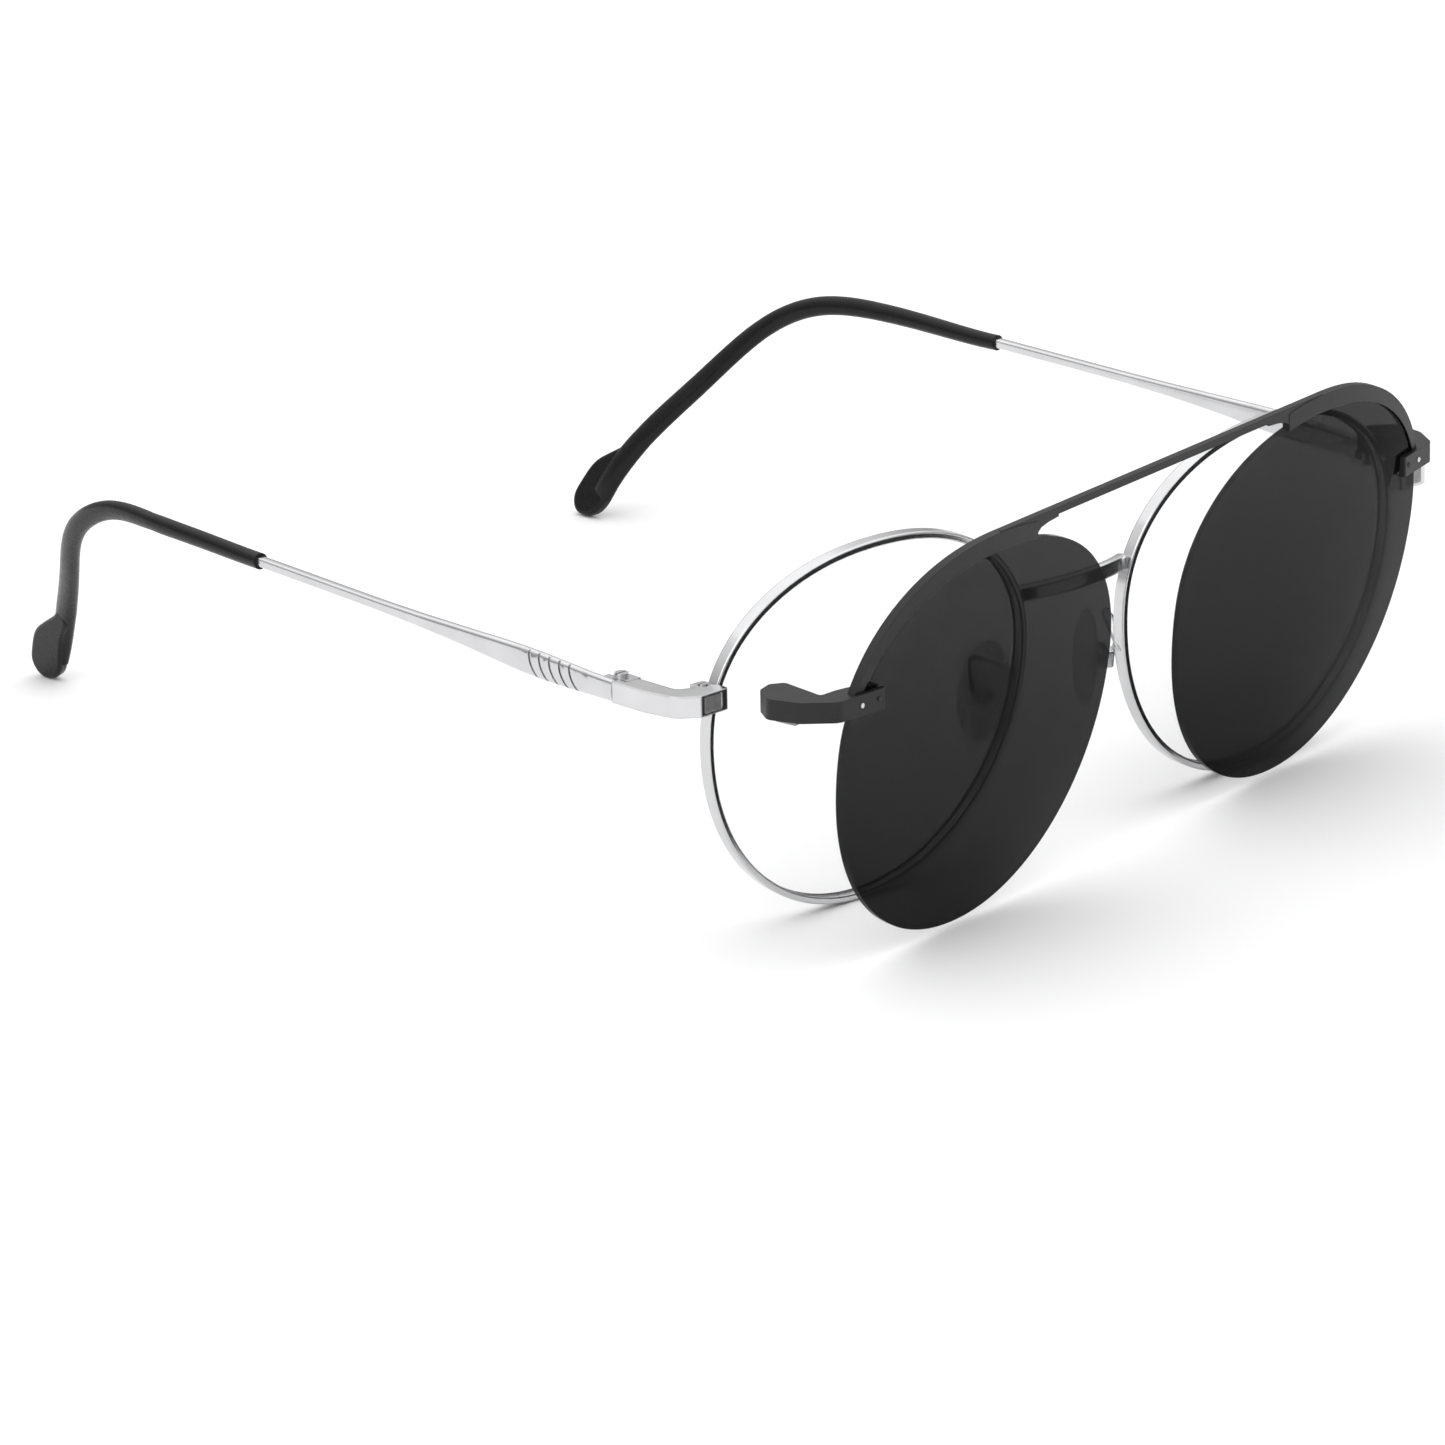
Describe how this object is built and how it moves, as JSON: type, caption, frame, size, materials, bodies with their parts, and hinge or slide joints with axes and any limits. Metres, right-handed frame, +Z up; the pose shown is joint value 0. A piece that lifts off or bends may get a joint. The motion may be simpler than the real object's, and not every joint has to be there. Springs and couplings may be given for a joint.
{
  "type": "spectacles with clip-on sun lenses",
  "caption": "Round metal spectacles with folding temples, rocking nose pads and a magnetic clip-on pair of dark sun lenses carried by hooks over the end pieces.",
  "frame": {"origin": "middle of the base of the whole object: half way across and half way front to back at the height that the tips and the lens bottoms rest on", "axes": "+Z up, -Y the way the wearer looks, +X the wearer's left; the spectacles are mirrored about a plane normal to X through the bridge"},
  "size_m": [0.1326, 0.1626, 0.051],
  "materials": {
    "silver": "polished and plated, bright silver",
    "steel_screw": "turned steel",
    "magnet": "dark grey coated magnet, satin",
    "clear_lens": "clear polished demonstration lens",
    "silicone": "translucent silicone",
    "tip_plastic": "gloss black acetate",
    "sun_lens": "dark grey gradient tint, glossy",
    "black_metal": "charcoal black satin coating"
  },
  "bodies": {
    "front_frame": {"bridge": "silver", "rim_left": "silver", "rim_right": "silver", "clear_lens_left": "clear_lens", "clear_lens_right": "clear_lens", "end_piece_left": "silver", "end_piece_right": "silver", "end_piece_magnet_left": "magnet", "end_piece_magnet_right": "magnet", "rim_lock_block_left": "silver", "rim_lock_block_right": "silver", "closing_screw_left": "steel_screw", "closing_screw_right": "steel_screw", "front_knuckle_left": "silver", "front_knuckle_right": "silver", "hinge_screw_left": "steel_screw", "hinge_screw_right": "steel_screw", "pad_arm_left": "silver", "pad_arm_right": "silver", "pad_box_left": "silver", "pad_box_right": "silver", "pad_screw_left": "steel_screw", "pad_screw_right": "steel_screw"},
    "temple_arm_left": {"temple_left": "silver", "temple_knuckle_left": "silver", "temple_tip_left": "tip_plastic"},
    "temple_arm_right": {"temple_right": "silver", "temple_knuckle_right": "silver", "temple_tip_right": "tip_plastic"},
    "nose_pad_left": {"nose_pad_left": "silicone", "pad_stem_left": "silver"},
    "nose_pad_right": {"nose_pad_right": "silicone", "pad_stem_right": "silver"},
    "clip_on": {"clip_bar": "black_metal", "sun_lens_left": "sun_lens", "sun_lens_right": "sun_lens", "clip_hook_left": "black_metal", "clip_hook_right": "black_metal", "clip_magnet_left": "magnet", "clip_magnet_right": "magnet", "clip_screw_left": "steel_screw", "clip_screw_right": "steel_screw", "clip_pin_left": "black_metal", "clip_pin_right": "black_metal"}
  },
  "joints": [
    {"name": "clip_swing", "type": "hinge", "parent": "front_frame", "child": "clip_on", "pos_m": [0.0542, -0.06402, 0.03564], "axis": [0, 0, 1], "range_deg": [-8.69, 2]},
    {"name": "temple_fold_left", "type": "hinge", "parent": "front_frame", "child": "temple_arm_left", "pos_m": [0.064, -0.04792, 0.03224], "axis": [0, 0, 1], "range_deg": [0, 84]},
    {"name": "temple_fold_right", "type": "hinge", "parent": "front_frame", "child": "temple_arm_right", "pos_m": [-0.064, -0.04792, 0.03224], "axis": [0, 0, 1], "range_deg": [-84, 0]},
    {"name": "pad_rock_left", "type": "hinge", "parent": "front_frame", "child": "nose_pad_left", "pos_m": [0.01032, -0.05385, 0.01934], "axis": [0.3978, 0.8936, 0.2079], "range_deg": [-8, 8]},
    {"name": "pad_rock_right", "type": "hinge", "parent": "front_frame", "child": "nose_pad_right", "pos_m": [-0.01032, -0.05385, 0.01934], "axis": [-0.3978, 0.8936, 0.2079], "range_deg": [-8, 8]}
  ]
}
